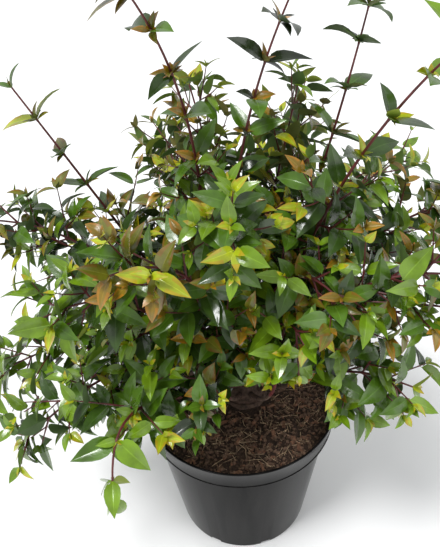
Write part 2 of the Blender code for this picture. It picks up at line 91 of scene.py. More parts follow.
# Peat
SOIL_TOP, SOIL_FALL, SOIL_FLAT = 0.174, 0.0025, 0.045
SOIL_SEAT = 0.00036          # between the pot's inner side and the peat
SOIL_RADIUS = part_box("soil")[1][0]
SOIL_RINGS, SOIL_SEGMENTS = 60, 180
SOIL_SWELLS = ((0.0016, 55, 0.3), (0.0011, 210, 0.7))    # height, how many per metre, and a slice
SMOOTH_FROM, SMOOTH_RUN = 0.030, 0.012   # round the foot, where the peat turns from level to rough
FOOT_SPACE = 0.004           # kept round the foot by what is strewn on the peat
CRUMBS, CRUMB_MARGIN, CRUMB_SIZES = 3200, 0.003, (0.0005, 0.0008, 0.0011, 0.0018)
BITS, BIT_MARGIN, BIT_SIZES = 240, 0.007, (0.0018, 0.0026, 0.0034, 0.0052)
STRAWS, STRAW_MARGIN, STRAW_LENGTHS = 420, 0.010, (0.004, 0.018)
STRAW_RADII, STRAW_BEND, STRAW_CLIMB = (0.00014, 0.00042), 0.08, (-0.12, 0.22)
BIT_LIFT, STRAW_LIFT = 0.0006, 0.0012
CRUMB_SHARES, BIT_SHARES = (1, 0.8, 0.7), (1, 0.45, 0.28)
LUMP_TILT, LUMP_RANGE = 0.5, (0.55, 1.1)
PEAT, CRUMB = (0.050, 0.028, 0.018), (0.165, 0.098, 0.064)
BARK_BIT, STRAW = (0.215, 0.105, 0.062), (0.520, 0.365, 0.230)

# Foot, as in the solids, with furrows that go in from its surface
FOOT_PLACE = (0.006, 0.012)
FOOT_FLARE, FLARE_LOBES, FLARE_DEPTH = 0.0285, 7, 0.0016
FLARE_IN, FLARE_RISE = 0.0035, 0.8       # how far the skirt draws in, and up as a share of the dome
DOME_RADIUS, DOME_HEIGHT = 0.0240, 0.0075
DOME_ARC, DOME_STEPS = (-8, 82), 18
FOOT_SEGMENTS = 72
FURROW_DEPTH, FURROW_TURNS, FURROW_RISE = 0.035, 9, 30
WOOD = (0.115, 0.070, 0.050)

# Limbs, as in the solids. A ring has a tilt from upright, a first bearing and a radius at the foot.
# A limb's row is its name, tip, heading at the tip, how far its curve is drawn out at foot and tip, and
# the moods that its sprays choose from.
FORK_RADIUS, TIP_RADIUS = 0.0018, 0.0008
BARE_SHARE = 0.30
RINGS = {"outer": (62, -35, 0.0031), "middle": (38, -30, 0.0029), "inner": (18, -30, 0.0024),
         "centre": (0, 0, 0.0025)}
LIMBS = {
    "outer": [
        ("right_low", (0.150, -0.124, 0.314), (-25, -10), 0.09, 0.09, ("fresh", "green")),
        ("right_back_low", (0.205, 0.095, 0.335), (25, 0), 0.10, 0.10, ("green", "fresh")),
        ("back_right_low", (0.070, 0.225, 0.315), (72, -8), 0.10, 0.11, ("green", "fresh")),
        ("back_left_low", (-0.090, 0.222, 0.310), (112, -10), 0.10, 0.11, ("green", "fresh")),
        ("left_back_low", (-0.225, 0.120, 0.290), (152, -15), 0.11, 0.11, ("green", "fresh")),
        ("left_low", (-0.270, -0.030, 0.262), (188, -25), 0.12, 0.13, ("green", "fresh")),
        ("left_front_low", (-0.208, -0.122, 0.268), (207, -30), 0.12, 0.11, ("fresh", "green")),
        ("weeping", (-0.120, -0.176, 0.247), (226, -84), 0.13, 0.13, ("fresh", "green")),
        ("front_low", (-0.038, -0.118, 0.292), (258, -40), 0.08, 0.07, ("dark", "green")),
        ("front_right_low", (0.050, -0.132, 0.378), (290, -25), 0.13, 0.08, ("fresh", "fresh")),
    ],
    "middle": [
        ("right_thick", (0.168, -0.128, 0.405), (-15, -5), 0.10, 0.12, ("bronze", "fresh")),
        ("right", (0.215, -0.040, 0.455), (-8, 10), 0.13, 0.12, ("bronze", "green")),
        ("right_back", (0.190, 0.105, 0.430), (32, 15), 0.13, 0.10, ("green", "fresh")),
        ("back_right", (0.085, 0.165, 0.455), (62, 30), 0.13, 0.10, ("bright", "green")),
        ("back_left", (-0.075, 0.165, 0.455), (112, 30), 0.13, 0.10, ("bright", "green")),
        ("left_arch", (-0.181, 0.010, 0.556), (176, 62), 0.12, 0.15, ("dark", "bronze")),
        ("left", (-0.232, -0.005, 0.440), (182, 5), 0.14, 0.12, ("dark", "green")),
        ("left_front", (-0.170, -0.110, 0.400), (212, -10), 0.13, 0.11, ("green", "fresh")),
        ("bronze_left", (-0.098, -0.128, 0.455), (205, -5), 0.15, 0.10, ("bronze", "bright")),
        ("right_near", (0.172, -0.134, 0.440), (-10, -10), 0.15, 0.11, ("fresh", "bronze")),
    ],
    "inner": [
        ("right_tall", (0.158, -0.115, 0.620), (-28, 45), 0.17, 0.13, ("bronze", "green")),
        ("right_sky", (0.117, 0.014, 0.618), (0, 80), 0.15, 0.17, ("shade", "dark")),
        ("top_right", (0.070, 0.075, 0.530), (60, 60), 0.13, 0.13, ("bright", "green")),
        ("top_left", (-0.035, 0.075, 0.530), (120, 60), 0.13, 0.13, ("bright", "fresh")),
        ("left_tall", (-0.072, -0.048, 0.640), (215, 55), 0.15, 0.15, ("bronze", "bronze")),
        ("front", (-0.004, -0.138, 0.478), (275, 0), 0.17, 0.10, ("green", "green")),
        ("front_right", (0.088, -0.136, 0.405), (300, -30), 0.18, 0.09, ("fresh", "bronze")),
    ],
    "centre": [("centre_sky", (0.052, 0.000, 0.622), (20, 62), 0.15, 0.17, ("shade", "shade"))],
}
BOUGH_STEP, BOUGH_SIDES = 0.0025, 12
BARK_RELIEF, BARK_TURNS, BARK_RISE = 0.10, 2.2, 260

# Limbs that end in one bare stem with leaves and tufts at its nodes, and limbs with larger leaves
SLENDER = ("left_arch", "right_tall", "right_sky", "left_tall", "centre_sky", "weeping")
BIG_LEAVED = ("weeping", "left_low", "left_front_low", "front_low", "left_front", "right_low")

# The crown stays open over the front right of the peat: each opening's sides, and how steeply
# its upper edge climbs toward the viewer
OPENINGS = ((-0.045, 0.105, 0.71), (-0.012, 0.105, 1.04))
OPEN_BACK, OPEN_REACH = 0.020, 0.4       # where it starts, and how far it runs to the front
OPEN_NARROWING = 2.0
RIM_INSIDE, RIM_OUTSIDE = 0.008, 0.002   # the band round the rim where leaves stay above it
OVER_POT, OVER_FLOOR = 0.002, 0.004
REACH_OUT = 0.008            # how far a leaf may stand proud of its mass's box
CROWN_MIDDLE = Vector((0.0, 0.0, 0.33))

# Stems and shoots
NODE_STEP, SLENDER_NODE_STEP = 0.024, 0.036
FIRST_NODE, LAST_NODE = 0.62, 0.006      # a share of the step, and the least way before the tip
SLENDER_FROM = 0.45
TUFT_FIRST, TUFT_LAST, TUFT_STEPS = 0.012, 0.010, (0.75, 1.25)
SIDE_LENGTH, SIDE_TAPER, SIDE_RANGE = 0.066, (1.15, 0.55), (0.75, 1.15)
SIDE_ANGLES, SIDE_SIZES = (46, 60, 34), (1.0, 0.8, 0.6)
SIDE_TURN, SIDE_SWAY = 6, 0.10
SIDE_NODE_STEP, SIDE_STEPS = 0.0185, (0.9, 1.2)
SIDE_DRAW, SIDE_BEND, SIDE_REST = 0.33, 0.6, 0.4         # shares of a side shoot's length
SIDE_SAMPLES = 16
LIFT_FROM, UPPER_LIFT, LOWER_LIFT = 0.33, 0.35, -0.05    # a side shoot turns up only above a height
SPUR_LENGTH, SPUR_RANGE, SPUR_CHANCE = 0.026, (0.7, 1.2), 0.45
SIDE_RADIUS, SPUR_RADIUS, SHOOT_TIP_RADIUS = 0.00105, 0.00075, 0.00045
CLEAR = 0.0005               # by which the shapes of the clearance test are swollen
ROOT_TRIM, TEST_RUNS, TEST_SIDES, TEST_STEP = 0.004, 3, 3, 0.02
LEAD_SIDES, TWIG_SIDES, TUBE_STEP = 8, 5, 0.009
SWELL, SWELL_REACH, SWELL_BEFORE, SWELL_AFTER = 0.32, 0.0013, 0.0022, 0.0018
STEM = (0.105, 0.016, 0.016)

# Leaves
LEAF_LENGTH = 0.040
BIG_LEAF = 1.07
LEAF_WIDTH_SHARE = 0.46
LEAF_ANGLES, TUFT_ANGLES, LEAF_TURN = (58, 46, 70), (38, 26), 8
LEAF_SIZES, TRIES = (1.0, 0.85, 0.7), 2
LEAF_SAG, TUFT_SAG, SAG_RANGE = 0.22, 0.10, (0.1, 1.3)
LEAF_SWAY, FACE_SWAY = 0.24, 0.42
FACE_UP, FACE_OUT, FACE_AHEAD = 0.80, 0.55, 0.45
WIDTH_RANGE, BEND_RANGE, FOLD_RANGE = (0.88, 1.12), (0.12, 1.0), (0.14, 0.58)
CURL_RANGE, TWIST_RANGE = (0.05, 0.22), (-0.35, 0.35)
ORDER_LEAVES = {1: (0.92, 1.15), 2: (0.85, 1.1), 3: (0.55, 0.8)}
SIDE_LEAF_SHARES = (0.75, 0.92, 1.0)     # by how many nodes a side shoot's leaf is back from the tip
TUFT_NODE_LEAVES, BUD_ANGLES, BUD_LEAVES = (0.76, 1.04), (28, 42), (0.34, 0.5)
TIP_SHARES, TIP_RANGE, TIP_BACK = {1: 0.62, 2: 0.5, 3: 0.5}, (0.75, 1.2), 0.001
SMALL_ANGLES, SMALL_LEAVES = (14, 30), (0.4, 0.6)
ORDER_SWAY = 0.01            # metres by which the order from outermost to innermost is shuffled
LEAF_THICKNESS = 0.0004
PETIOLE_SHARE = 0.07
BLADE_RISE, BLADE_FALL, BLADE_WIDEST = 0.55, 1.12, 0.33
STATIONS = (0.0, PETIOLE_SHARE, 0.15, 0.27, 0.42, 0.59, 0.77, 0.92, 1.0)
SMALL_STATIONS = (0.0, PETIOLE_SHARE, 0.30, 0.62, 1.0)
RIB_SHARE, RIB_SINK = 0.055, 0.012       # of half the leaf's width: half the midrib, and its groove
COLUMNS = (-1.0, -0.52, -RIB_SHARE, RIB_SHARE, 0.52, 1.0)
SMALL_COLUMNS = (-1.0, 0.0, 1.0)
STALK_HALF, POINT_HALF, KEEL_SHARE = 0.00035, 0.00012, 0.8
BLUSH_FROM = 4               # the station from which a blushed leaf's edges are coloured like its tip
TEST_STATIONS = (0.14, 0.38, 0.74)
UPPER, UNDER, RIB, YOUNG = range(4)      # material slots of a leaf

# What the leaves of a spray lean to, from the oldest to the youngest
MOODS = {
    "green": ("dark", "mid", "fresh", "lime"),
    "fresh": ("mid", "fresh", "fresh", "lime"),
    "bronze": ("dark", "mid", "olive", "bronze"),
    "bright": ("mid", "olive", "lime", "bronze"),
    # in the dark and shade moods, deep is painted shade: near-black leaves where leaves stand in shade
    "dark": ("deep", "dark", "mid", "olive"),
    "shade": ("deep", "deep", "deep", "bronze"),
}
# Above LIFTED_FROM a lifted limb's leading stem keeps its own mood; for the sky limbs that is the painted
# shade of the shade mood
LIFTED = ("centre_sky", "right_sky", "left_tall", "left_arch")
LIFTED_FROM = 0.57           # height where the leading stem of a lifted limb takes the limb's own mood
SIDE_MOODS = ("green", "bright")
TUFTED = ("top_left", "top_right", "back_left", "back_right", "left_tall", "right_tall", "left_arch",
          "left", "left_back_low")
YOUNG_SHARE, TUFTED_SHARE = 0.38, 0.75   # of the leaves in a tuft that have the youngest colour
ORDER_YOUTH = {1: 0.2, 2: 1.2, 3: 1.9}
NODE_YOUTH, TIP_YOUTH = 0.45, 1.0
OUTER_FROM, OUTER_YOUTH, YOUTH_SWAY = 0.16, 7, 0.9

LEAF_COLOURS = {             # of the leaf, and of its young tip
    # deep is painted shade: a near-black copy of the dark leaf, tip and all
    "deep": ((0.013, 0.024, 0.006), (0.020, 0.012, 0.006)),
    "dark": ((0.029, 0.066, 0.006), (0.120, 0.075, 0.008)),
    "mid": ((0.063, 0.140, 0.006), (0.250, 0.170, 0.009)),
    "fresh": ((0.140, 0.250, 0.007), (0.330, 0.300, 0.010)),
    "lime": ((0.340, 0.400, 0.010), (0.400, 0.310, 0.012)),
    "olive": ((0.150, 0.150, 0.010), (0.190, 0.110, 0.012)),
    "bronze": ((0.215, 0.140, 0.008), (0.330, 0.150, 0.009)),
}
BLUSHED = ("olive", "bronze", "lime")
PALE_UNDERSIDE, PALE_SHARE = (0.15, 0.22, 0.10), 0.4
RIB_GAIN, RIB_PALER = 1.3, 0.006         # from the leaf's colour to its midrib's
LEAF_SLOTS = {"deep": "leaf_dark", "dark": "leaf_dark", "mid": "leaf_mid", "fresh": "leaf_light",
              "lime": "leaf_light", "olive": "leaf_bronze", "bronze": "leaf_bronze"}


def direction(bearing, climb):
    turn, rise = math.radians(bearing), math.radians(climb)
    return Vector((math.cos(turn) * math.cos(rise), math.sin(turn) * math.cos(rise), math.sin(rise)))


def leaning(ahead, side, angle):
    return ahead * math.cos(math.radians(angle)) + side * math.sin(math.radians(angle))


def sway(chance, size):
    return Vector([chance.uniform(-size, size) for _ in range(3)])


# Materials

FINISHES = {                 # roughness, grain per metre, spread of the colour, strength of the relief
    "leaf": (0.27, 55.0, 0.26, 0.3),
    "underside": (0.55, 55.0, 0.15, 0.2),
    "stem": (0.45, 120.0, 0.3, 0.3),
    "bark": (0.78, 260.0, 0.45, 0.7),
    "peat": (0.95, 420.0, 0.55, 0.9),
    "strewn": (0.9, 300.0, 0.45, 0.6),
    # the pot's wide spread paints upright bands of reflection into its colour
    "reflection_banded_plastic": (0.16, 60.0, 0.85, 0.05),
}
TONE_STOPS = (0.35, 0.65)    # of the noise, between which a colour drifts from dark to light
DRIFT_DETAIL, RELIEF_DETAIL = 3.0, 2.0
RELIEF_FINER, RELIEF_DEPTH = 7, 0.0006


def shader_of(made):
    return made.node_tree.nodes["Principled BSDF"]


def plain_material(name, colour, roughness, **sockets):
    made = bpy.data.materials.new(name)
    made.use_nodes = True
    shader = shader_of(made)
    shader.inputs["Base Color"].default_value = (*colour, 1.0)
    shader.inputs["Roughness"].default_value = roughness
    for socket, value in sockets.items():
        shader.inputs[socket.replace("_", " ")].default_value = value
    return made


def add_node(made, kind, **sockets):
    node = made.node_tree.nodes.new(kind)
    for socket, value in sockets.items():
        node.inputs[socket].default_value = value
    return node


def link(made, out, into):
    made.node_tree.links.new(out, into)


def object_noise(made, scale, detail, stretch):
    """Noise in the object's own metres; a stretch above 1 makes it finer along that axis."""
    place = add_node(made, "ShaderNodeTexCoord")
    mapping = add_node(made, "ShaderNodeMapping", Scale=stretch)
    texture = add_node(made, "ShaderNodeTexNoise", Scale=scale, Detail=detail)
    link(made, place.outputs["Object"], mapping.inputs["Vector"])
    link(made, mapping.outputs["Vector"], texture.inputs["Vector"])
    return texture.outputs["Fac"]


def tone(made, factor, dark, light):
    """Colour that runs from dark to light with the factor."""
    ramp = add_node(made, "ShaderNodeValToRGB")
    for stop, place, colour in zip(ramp.color_ramp.elements, TONE_STOPS, (dark, light)):
        stop.position = place
        stop.color = (*colour, 1.0)
    link(made, factor, ramp.inputs["Fac"])
    return ramp.outputs["Color"]


def grained_material(name, colour, finish, stretch=(1, 1, 1), **sockets):
    """Colour that drifts by a spread over the surface, with a finer relief."""
    roughness, grain, spread, raised = FINISHES[finish]
    made = plain_material(name, colour, roughness, **sockets)
    shader = shader_of(made)
    dark = tuple(c * (1 - spread) for c in colour)
    light = tuple(c * (1 + spread) for c in colour)
    drift = object_noise(made, grain, DRIFT_DETAIL, stretch)
    link(made, tone(made, drift, dark, light), shader.inputs["Base Color"])
    relief = add_node(made, "ShaderNodeBump", Strength=raised, Distance=RELIEF_DEPTH)
    height = object_noise(made, grain * RELIEF_FINER, RELIEF_DETAIL, stretch)
    link(made, height, relief.inputs["Height"])
    link(made, relief.outputs["Normal"], shader.inputs["Normal"])
    return made


def leaf_material(name, colour):
    return grained_material(name, colour, "leaf", Coat_Weight=0.35, Coat_Roughness=0.12)


# Objects

def placed(name, data):
    thing = bpy.data.objects.new(name, data)
    bpy.context.scene.collection.objects.link(thing)
    return thing


def smoothed(mesh, sharp_degrees):
    mesh.shade_smooth()
    mesh.set_sharp_from_angle(angle=math.radians(sharp_degrees))
    return mesh


def mesh_piece(name, points, faces, materials, sharp_degrees, slots=None):
    mesh = bpy.data.meshes.new(name)
    mesh.from_pydata(points, [], faces)
    for made in materials:
        mesh.materials.append(made)
    if slots is not None:
        mesh.polygons.foreach_set("material_index", slots)
    return placed(name, smoothed(mesh, sharp_degrees))


def join_shapes(name, shapes, material, sharp_degrees=SHARP):
    """One object from many (points, faces) shapes."""
    points, faces = [], []
    for shape_points, shape_faces in shapes:
        offset = len(points)
        points += [tuple(p) for p in shape_points]
        faces += [tuple(k + offset for k in face) for face in shape_faces]
    return mesh_piece(name, points, faces, [material], sharp_degrees)


# Routes and tubes

# Ways that no stem runs along, from which the ways across it are found
TUBE_START = Vector((0.31, -0.22, 0.93))
NODE_START = Vector((0.13, 0.07, 1.0))
TUFT_START = Vector((0.1, 0.2, 1.0))


class Route:
    """A smooth curve that can be read by the distance along it."""

    def __init__(self, p0, p1, p2, p3, samples=120):
        self.points = []
        for k in range(samples + 1):
            t = k / samples
            self.points.append(p0 * (1 - t) ** 3 + p1 * 3 * t * (1 - t) ** 2
                               + p2 * 3 * t * t * (1 - t) + p3 * t ** 3)
        self.marks = [0.0]
        for a, b in zip(self.points, self.points[1:]):
            self.marks.append(self.marks[-1] + (b - a).length)
        self.length = self.marks[-1]

    def at(self, distance):
        """Place and heading at a distance."""
        k = 1
        while k < len(self.marks) - 1 and self.marks[k] < distance:
            k += 1
        a, b = self.points[k - 1], self.points[k]
        share = (distance - self.marks[k - 1]) / (self.marks[k] - self.marks[k - 1])
        return a.lerp(b, share), (b - a).normalized()


def tube(route, marks, radius_at, sides, relief=None):
    """Closed tube with a ring at each mark; relief gives a share that a ring point stands proud."""
    side = TUBE_START
    points = []
    for mark in marks:
        middle, ahead = route.at(mark)
        side = (side - ahead * side.dot(ahead)).normalized()
        across = ahead.cross(side)
        radius = radius_at(mark)
        for s in range(sides):
            angle = math.tau * s / sides
            out = side * math.cos(angle) + across * math.sin(angle)
            proud = 1 + relief(mark, angle) if relief else 1
            points.append(middle + out * (radius * proud))
    last = len(points) - sides
    faces = [tuple(reversed(range(sides)))]
    for ring in range(0, last, sides):
        for s in range(sides):
            a, b = ring + s, ring + (s + 1) % sides
            faces.append((a, b, b + sides, a + sides))
    faces.append(tuple(range(last, len(points))))
    return points, faces


def even_marks(start, end, step):
    count = max(2, round((end - start) / step) + 1)
    return [start + (end - start) * k / (count - 1) for k in range(count)]


# Limbs

class Limb:
    """A bough from the foot's dome and the leading stem that runs on from it."""

    def __init__(self, name, foot_radius, outward, tip, heading, pulls, moods):
        dome = Vector((*FOOT_PLACE, SOIL_TOP + GAP + DOME_HEIGHT))
        foot = dome + outward * (DOME_RADIUS + GAP)
        tip = Vector(tip)
        self.name, self.foot_radius, self.moods = name, foot_radius, moods
        self.route = Route(foot, foot + outward * pulls[0], tip - direction(*heading) * pulls[1], tip)
        self.length = self.route.length
        self.fork = self.length * BARE_SHARE
        low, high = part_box("foliage_" + name)
        self.low = [value - REACH_OUT for value in low]
        self.high = [value + REACH_OUT for value in high]

    def share(self, distance):
        return (distance - self.fork) / (self.length - self.fork)

    def radius(self, distance):
        if distance < self.fork:
            return self.foot_radius + (FORK_RADIUS - self.foot_radius) * distance / self.fork
        return FORK_RADIUS + (TIP_RADIUS - FORK_RADIUS) * self.share(distance)

    def reaches(self, point):
        return all(self.low[k] <= point[k] <= self.high[k] for k in range(3))


def all_limbs():
    limbs = []
    for ring, rows in LIMBS.items():
        tilt, first, foot_radius = RINGS[ring]
        for k, (name, tip, heading, *pulls, moods) in enumerate(rows):
            outward = direction(first + 360 * k / len(rows), 90 - tilt)
            limbs.append(Limb(name, foot_radius, outward, tip, heading, pulls, moods))
    return limbs


# Room in the crown

class Space:
    """What already stands in the crown, kept in a grid of cells."""

    CELL = 0.03

    def __init__(self):
        self.cells = defaultdict(list)

    def spans(self, low, high):
        return product(*(range(math.floor(a / self.CELL), math.floor(b / self.CELL) + 1)
                         for a, b in zip(low, high)))

    def free(self, points, faces):
        low, high = box(points)
        tree, seen = None, set()
        for cell in self.spans(low, high):
            for thing in self.cells.get(cell, ()):
                if id(thing) in seen:
                    continue
                seen.add(id(thing))
                if apart(low, high, thing[0], thing[1]):
                    continue
                tree = tree or BVHTree.FromPolygons(points, faces)
                if tree.overlap(thing[2]):
                    return False
        return True

    def add(self, points, faces):
        low, high = box(points)
        thing = (low, high, BVHTree.FromPolygons(points, faces))
        for cell in self.spans(low, high):
            self.cells[cell].append(thing)


def box(points):
    return [[pick(p[k] for p in points) for k in range(3)] for pick in (min, max)]


def apart(low_a, high_a, low_b, high_b):
    return any(low_a[k] > high_b[k] or low_b[k] > high_a[k] for k in range(3))


def open_air(point):
    """Whether a point is clear of the pot, the peat, the floor and the opening over the peat."""
    nearer = OPEN_BACK - point.y
    if 0 < nearer < OPEN_REACH:
        middle = CAMERA_PLACE[0]
        across = middle + (point.x - middle) / (1 - nearer * OPEN_NARROWING)
        for left, right, slope in OPENINGS:
            if left < across < right and point.z < SOIL_TOP + nearer * slope:
                return False
    reach = math.hypot(point.x, point.y)
    if reach < RIM_RADIUS - RIM_INSIDE:
        return point.z > SOIL_TOP + OVER_POT
    if reach < RIM_RADIUS + RIM_OUTSIDE:
        return point.z > POT_HEIGHT + OVER_POT
    return point.z > OVER_FLOOR


def within(limb, points):
    return all(open_air(p) and limb.reaches(p) for p in points)


# Shoots

class Shoot:
    """A stem with its nodes: the leading stem of a mass, a side shoot or a spur."""

    def __init__(self, limb, route, start, end, order, radius_at, step):
        self.limb, self.route, self.start, self.end = limb, route, start, end
        self.order, self.radius_at = order, radius_at
        self.nodes, self.tufts = [], []
        distance = start + step * FIRST_NODE
        while distance < end - LAST_NODE:
            self.nodes.append(distance)
            distance += step
        self.leaves = 0

    def sides(self, k, distance):
        """The two ways across at a node: pairs cross from node to node."""
        ahead = self.route.at(distance)[1]
        level = ahead.cross(NODE_START).normalized()
        side = level if k % 2 else level.cross(ahead)
        return side, -side


def leading_shoot(limb, chance):
    """The limb's own stem; a slender limb has wider nodes with tufts toward its tip."""
    shoot = Shoot(limb, limb.route, limb.fork + GAP, limb.length, 1, limb.radius, NODE_STEP)
    if limb.name in SLENDER:
        border = limb.fork + (limb.length - limb.fork) * SLENDER_FROM
        shoot.nodes = [node for node in shoot.nodes if node < border]
        distance = border + TUFT_FIRST
        while distance < limb.length - TUFT_LAST:
            shoot.tufts.append(distance)
            distance += SLENDER_NODE_STEP * chance.uniform(*TUFT_STEPS)
        shoot.nodes += shoot.tufts
    return shoot


def side_shoot(parent, root, along, length, lift, chance):
    """Curved side shoot that turns up, or hangs where the lift is negative."""
    order = parent.order + 1
    later = (along + Vector((0, 0, lift))).normalized()
    bend = root + along * length * SIDE_BEND
    route = Route(root, root + along * length * SIDE_DRAW, bend, bend + later * length * SIDE_REST,
                  SIDE_SAMPLES)
    thick = SIDE_RADIUS if order == 2 else SPUR_RADIUS

    def radius_at(distance):
        return thick + (SHOOT_TIP_RADIUS - thick) * distance / route.length

    step = SIDE_NODE_STEP * chance.uniform(*SIDE_STEPS)
    return Shoot(parent.limb, route, 0.0, route.length, order, radius_at, step)


def test_tube(shoot):
    """Coarse swollen tube of a shoot beyond its root, for the clearance test."""
    marks = even_marks(shoot.start + ROOT_TRIM, shoot.end, (shoot.end - shoot.start) / TEST_RUNS)
    return tube(shoot.route, marks, lambda mark: shoot.radius_at(mark) + CLEAR, TEST_SIDES)


def grow_side(space, parent, distance, side, length, chance):
    """Put a side shoot at a node if some lie of it is free."""
    root, ahead = parent.route.at(distance)
    lift = UPPER_LIFT if root.z > LIFT_FROM else LOWER_LIFT
    for size in SIDE_SIZES:
        for angle in SIDE_ANGLES:
            along = leaning(ahead, side, angle + chance.uniform(-SIDE_TURN, SIDE_TURN))
            along = (along + sway(chance, SIDE_SWAY)).normalized()
            shoot = side_shoot(parent, root, along, length * size, lift, chance)
            points, faces = test_tube(shoot)
            if within(parent.limb, points) and space.free(points, faces):
                space.add(points, faces)
                return shoot
    return None


def grow_sides(space, leads, chance):
    """Side shoots from both axils of each plain node, in turns from every limb's tip inward."""
    sides = []
    longest, shortest = SIDE_TAPER
    for k in range(max(len(lead.nodes) for lead in leads)):
        for lead in leads:
            number = len(lead.nodes) - 1 - k
            if number < 0 or lead.nodes[number] in lead.tufts:
                continue
            distance = lead.nodes[number]
            taper = longest + (shortest - longest) * lead.limb.share(distance)
            for side in lead.sides(number, distance):
                length = SIDE_LENGTH * taper * chance.uniform(*SIDE_RANGE)
                shoot = grow_side(space, lead, distance, side, length, chance)
                if shoot:
                    sides.append(shoot)
    return sides


def grow_spurs(space, sides, chance):
    """Short spurs from some axils of the side shoots."""
    spurs = []
    for shoot in sides:
        for number, distance in enumerate(shoot.nodes[:-1]):
            for side in shoot.sides(number, distance):
                if chance.random() < SPUR_CHANCE:
                    length = SPUR_LENGTH * chance.uniform(*SPUR_RANGE)
                    spur = grow_side(space, shoot, distance, side, length, chance)
                    if spur:
                        spurs.append(spur)
    return spurs


def grow_skeleton(space, limbs):
    chance = random.Random(SEED)
    leads = [leading_shoot(limb, chance) for limb in limbs]
    for limb in limbs:
        marks = even_marks(0.0, limb.length, TEST_STEP)
        space.add(*tube(limb.route, marks, lambda mark: limb.radius(mark) + CLEAR, TEST_SIDES))
    sides = grow_sides(space, leads, chance)
    return leads + sides + grow_spurs(space, sides, chance)


# Leaves

class Leaf:
    """Where one leaf sits and how it bends."""

    def __init__(self, root, along, face, length, chance, small=False):
        self.root, self.along, self.face, self.length = root, along, face, length
        self.across = face.cross(along)
        self.width = length * LEAF_WIDTH_SHARE * chance.uniform(*WIDTH_RANGE)
        self.bend = chance.uniform(*BEND_RANGE)
        self.fold = chance.uniform(*FOLD_RANGE)
        self.curl = chance.uniform(*CURL_RANGE)
        self.twist = chance.uniform(*TWIST_RANGE)
        self.small = small
        self.tint = None

    def frame_at(self, t):
        """Middle, face and across at a share of the length: the leaf arches over."""
        turn = self.bend * t
        reach = self.length * (math.sin(turn) / self.bend)
        drop = self.length * (1 - math.cos(turn)) / self.bend
        middle = self.root + self.along * reach - self.face * drop
        face = self.face * math.cos(turn) + self.along * math.sin(turn)
        twist = self.twist * t
        across = self.across * math.cos(twist) + face * math.sin(twist)
        face = face * math.cos(twist) - self.across * math.sin(twist)
        return middle, face, across

    def test_shape(self):
        """Coarse swollen shape of the blade beyond its stalk."""
        points = [self.frame_at(TEST_STATIONS[0])[0]]
        for t in TEST_STATIONS[1:]:
            middle, face, across = self.frame_at(t)
            half = self.width / 2 * blade_width(t) + CLEAR
            rise = face * (half * self.fold)
            thick = face * (LEAF_THICKNESS / 2 + CLEAR)
            points += [middle + across * half + rise, middle + thick,
                       middle - across * half + rise, middle - thick]
        points.append(self.frame_at(1.0)[0])
        last = len(points) - 1
        faces = []
        for s in range(4):
            a, b = 1 + s, 1 + (s + 1) % 4
            faces += [(0, b, a), (a, b, b + 4, a + 4), (a + 4, b + 4, last)]
        return points, faces


def blade_width(t):
    """Width of the blade as a share of its widest: ovate, drawn out to a drip tip."""
    s = min(max((t - PETIOLE_SHARE) / (1 - PETIOLE_SHARE), 0.0), 1.0)
    widest = BLADE_WIDEST ** BLADE_RISE * (1 - BLADE_WIDEST) ** BLADE_FALL
    return s ** BLADE_RISE * (1 - s) ** BLADE_FALL / widest


def lit_face(place, ahead, along, chance):
    """Way that a leaf faces: up, outward and a little ahead, square to its own length."""
    outward = Vector((place.x - FOOT_PLACE[0], place.y - FOOT_PLACE[1], 0)).normalized()
    light = Vector((0, 0, FACE_UP)) + outward * FACE_OUT + ahead * FACE_AHEAD + sway(chance, FACE_SWAY)
    return (light - along * light.dot(along)).normalized()


def place_leaf(space, limb, root, ahead, side, length, angles, sag, chance):
    """Leaf at a node if some lie of it is free."""
    for size in LEAF_SIZES:
        for angle in angles:
            for _ in range(TRIES):
                along = leaning(ahead, side, angle + chance.uniform(-LEAF_TURN, LEAF_TURN))
                droop = Vector((0, 0, -sag * chance.uniform(*SAG_RANGE)))
                along = (along + droop + sway(chance, LEAF_SWAY)).normalized()
                face = lit_face(root, ahead, along, chance)
                leaf = Leaf(root, along, face, length * size, chance)
                points, faces = leaf.test_shape()
                if within(limb, points) and space.free(points, faces):
                    space.add(points, faces)
                    return leaf
    return None


def choose_mood(shoot, chance):
    aside = shoot.order > 1 and shoot.limb.name in LIFTED
    return MOODS[chance.choice(SIDE_MOODS if aside else shoot.limb.moods)]


def grow_leaves(space, shoots):
    """Young leaves at each tip, then leaf pairs at all nodes, the outermost first."""
    chance = random.Random(SEED + 1)
    sites = []
    for shoot in shoots:
        shoot.mood = choose_mood(shoot, chance)
        for number, distance in enumerate(shoot.nodes):
            root = shoot.route.at(distance)[0]
            outer = (root - CROWN_MIDDLE).length + chance.uniform(-ORDER_SWAY, ORDER_SWAY)
            for side in shoot.sides(number, distance):
                sites.append((outer, len(sites), shoot, number, side))
    sites.sort(key=lambda site: (-site[0], site[1]))
    leaves = []
    for shoot in shoots:
        leaves += grow_tip(space, shoot, chance)
    for outer, _, shoot, number, side in sites:
        leaves += grow_at_node(space, shoot, number, side, outer, chance)
    return leaves


